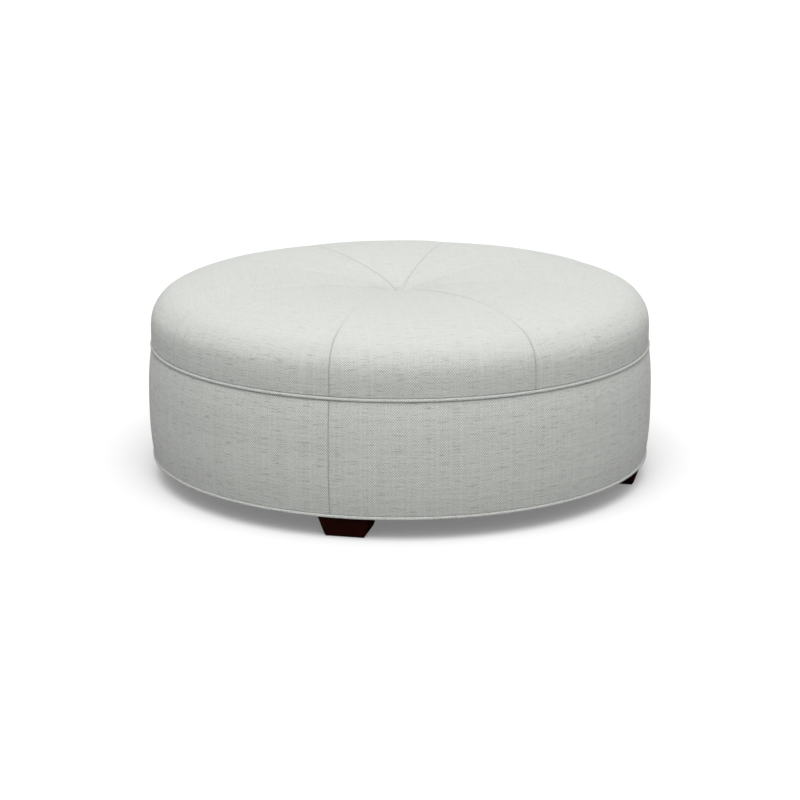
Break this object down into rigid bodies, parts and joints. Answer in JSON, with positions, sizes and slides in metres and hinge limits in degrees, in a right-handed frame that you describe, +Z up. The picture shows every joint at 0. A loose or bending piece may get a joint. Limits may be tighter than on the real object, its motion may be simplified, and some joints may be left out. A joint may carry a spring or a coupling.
{
  "type": "ottoman",
  "caption": "Round upholstered ottoman with a domed crown of sewn gores drawn into a centre tuft, piped edges, an upright cloth band and tapered wooden block feet.",
  "frame": {"origin": "on the floor, below the centre of the round body", "axes": "+Z up along the body's axis; the feet stand on -Y, +X, +Y and -X"},
  "size_m": [1.0662, 1.0662, 0.4206],
  "materials": {
    "cover_cloth": "matt linen-look weave with slubs",
    "foot_wood": "dark espresso stain, satin",
    "plywood": "raw plywood",
    "fibreboard": "raw hardboard",
    "softwood": "raw sawn pine",
    "foam": "open-cell polyurethane foam",
    "steel": "zinc plated",
    "felt": "pressed felt",
    "twine": "waxed upholstery twine",
    "dust_cloth": "spun-bonded dust cloth"
  },
  "bodies": {
    "root": {"dust_cover": "dust_cloth", "base_panel": "plywood", "deck_panel": "plywood", "rib_front": "plywood", "rib_back": "plywood", "rib_left": "plywood", "rib_right": "plywood", "side_board": "fibreboard", "bottom_welt": "cover_cloth", "top_welt": "cover_cloth", "crown_core_foam": "foam", "crown_top_foam": "foam", "tuft_gather": "cover_cloth", "tuft_twine": "twine", "tuft_toggle": "softwood", "foot_pads": "felt", "hanger_bolts": "steel", "foot_nuts": "steel", "foot_front": "foot_wood", "foot_right": "foot_wood", "foot_back": "foot_wood", "foot_left": "foot_wood", "rim_stud_1": "softwood", "rim_stud_2": "softwood", "rim_stud_3": "softwood", "rim_stud_4": "softwood", "band_panel_1": "cover_cloth", "band_panel_2": "cover_cloth", "band_panel_3": "cover_cloth", "band_panel_4": "cover_cloth", "crown_gore_1": "cover_cloth", "crown_gore_2": "cover_cloth", "crown_gore_3": "cover_cloth", "crown_gore_4": "cover_cloth", "crown_gore_5": "cover_cloth", "crown_gore_6": "cover_cloth", "crown_gore_7": "cover_cloth", "crown_gore_8": "cover_cloth"}
  },
  "joints": []
}
